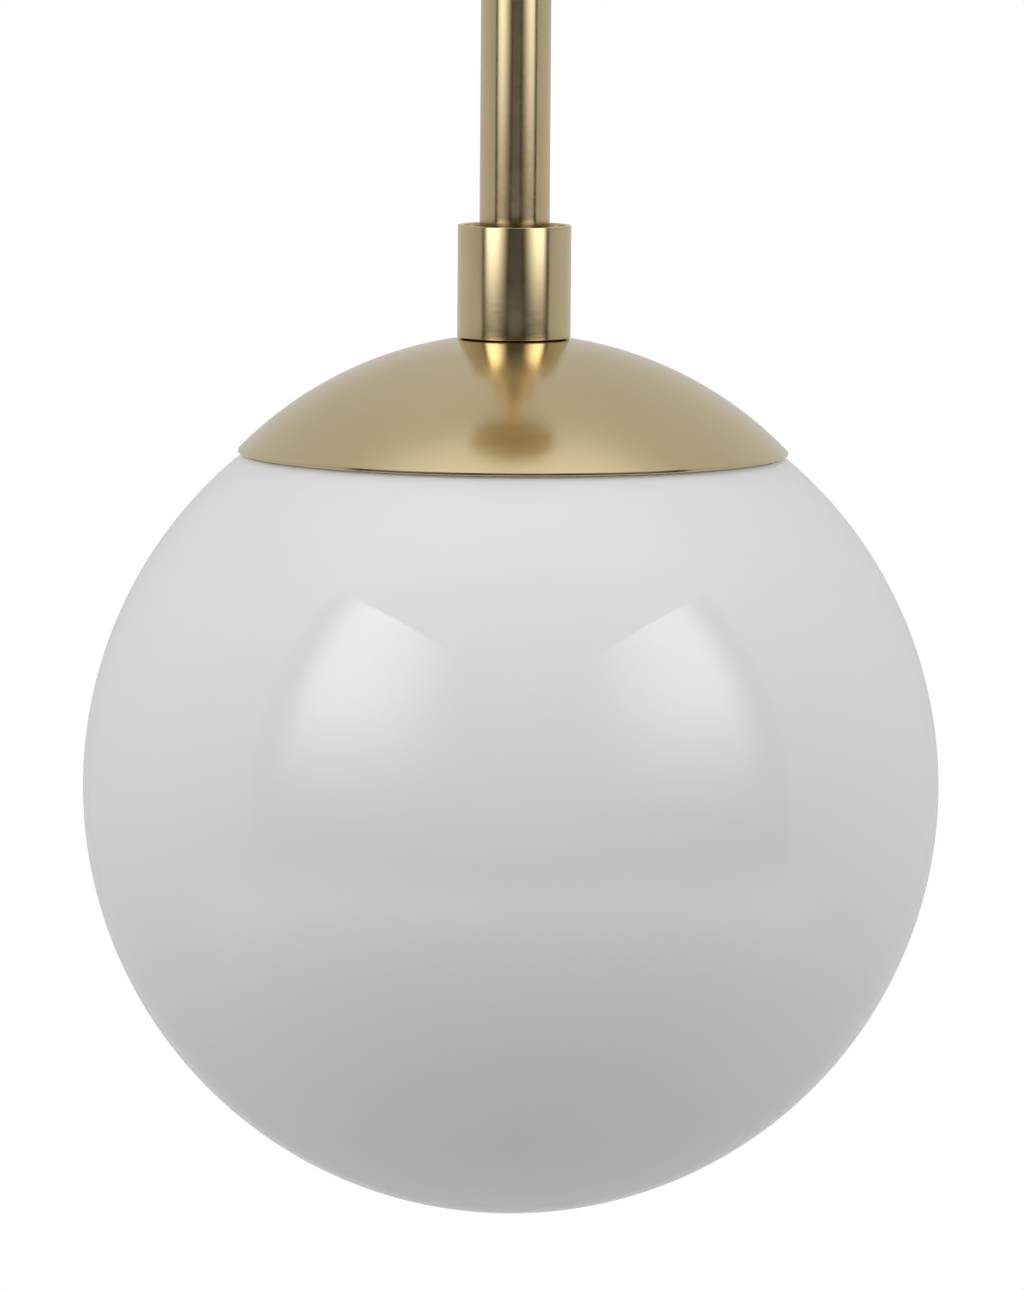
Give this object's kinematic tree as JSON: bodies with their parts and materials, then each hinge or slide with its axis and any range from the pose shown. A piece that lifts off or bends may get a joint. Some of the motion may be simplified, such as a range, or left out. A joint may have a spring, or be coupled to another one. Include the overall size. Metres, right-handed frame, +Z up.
{
  "type": "pendant ceiling light",
  "caption": "Opal globe pendant under a domed brass cap and loose collar, on a rigid brass stem that hangs from a ball swivel in a round ceiling canopy.",
  "frame": {"origin": "centre of the canopy rim and of the crossbar's upper face, on the ceiling", "axes": "+Z up into the ceiling, +X along the crossbar and its two slots; the stem hangs along -Z"},
  "size_m": [0.153, 0.153, 0.5012],
  "materials": {
    "satin_brass": "satin brushed and lacquered",
    "zinc_steel": "zinc plated",
    "spring_steel": "cold rolled strip",
    "opal_glass": "opal white, polished",
    "porcelain": "glazed",
    "nylon": "natural",
    "green_screw": "green dyed zinc",
    "green_insulation": "extruded",
    "black_insulation": "extruded",
    "white_insulation": "extruded",
    "orange_plastic": "moulded",
    "dark_plastic": "moulded",
    "silicone": "moulded",
    "nickel": "nickel plated",
    "white_plastic": "moulded",
    "diffuser": "frosted",
    "black_glass": "fused",
    "board": "white solder mask",
    "green_board": "green solder mask",
    "led": "phosphor"
  },
  "bodies": {
    "ceiling": {"canopy": "satin_brass", "crossbar": "zinc_steel", "canopy_studs": "zinc_steel", "stud_lock_nuts": "zinc_steel", "canopy_cap_nuts": "satin_brass", "ground_screw": "green_screw", "ground_lead": "green_insulation", "ground_connector": "orange_plastic", "swivel_cup": "satin_brass", "ball_keeper": "satin_brass"},
    "seat": {"swivel_seat": "nylon", "lead_connectors": "orange_plastic"},
    "stem": {"swivel_ball": "satin_brass", "ball_bushing": "dark_plastic", "neck_nut": "satin_brass", "upper_rod": "satin_brass", "rod_coupling": "zinc_steel", "lower_rod": "satin_brass", "lower_nipple": "zinc_steel", "stem_lock_nut": "satin_brass", "cap_washer": "zinc_steel", "cap": "satin_brass", "cap_spacer": "zinc_steel", "spring_hub": "zinc_steel", "hub_nut": "zinc_steel", "spring_arm_1": "spring_steel", "spring_arm_2": "spring_steel", "spring_arm_3": "spring_steel", "arm_rivets": "satin_brass", "shade_gasket": "silicone", "holder_bracket": "zinc_steel", "bracket_nut": "zinc_steel", "bracket_screws": "zinc_steel", "nipple_bushing": "dark_plastic", "holder_body": "porcelain", "holder_shell": "satin_brass", "holder_contact": "satin_brass", "holder_rivets": "satin_brass", "line_terminal": "satin_brass", "neutral_terminal": "satin_brass", "line_screw": "satin_brass", "neutral_screw": "nickel", "line_lead": "black_insulation", "neutral_lead": "white_insulation"},
    "collar": {"collar": "satin_brass"},
    "globe": {"globe": "opal_glass"},
    "bulb": {"bulb_base": "nickel", "bulb_insulator": "black_glass", "bulb_tip": "nickel", "bulb_housing": "white_plastic", "bulb_board": "board", "bulb_leds": "led", "bulb_driver": "green_board", "bulb_diffuser": "diffuser"}
  },
  "joints": [
    {"name": "swivel_turn", "type": "hinge", "parent": "ceiling", "child": "seat", "pos_m": [0, 0, -0.022], "axis": [0, 0, 1], "range_deg": [-175, 175]},
    {"name": "swivel_lean", "type": "hinge", "parent": "seat", "child": "stem", "pos_m": [0, 0, -0.022], "axis": [1, 0, 0], "range_deg": [-25, 25], "deforming": ["line_lead", "neutral_lead"]},
    {"name": "collar_slide", "type": "slide", "parent": "stem", "child": "collar", "axis": [0, 0, 1], "range_m": [0, 0.284]},
    {"name": "globe_release", "type": "slide", "parent": "stem", "child": "globe", "axis": [0, 0, -1], "range_m": [0, 0.11], "deforming": ["spring_arm_1", "spring_arm_2", "spring_arm_3"]},
    {"name": "bulb_unscrew", "type": "slide", "parent": "stem", "child": "bulb", "axis": [0, 0, -1], "range_m": [0, 0.024]}
  ]
}
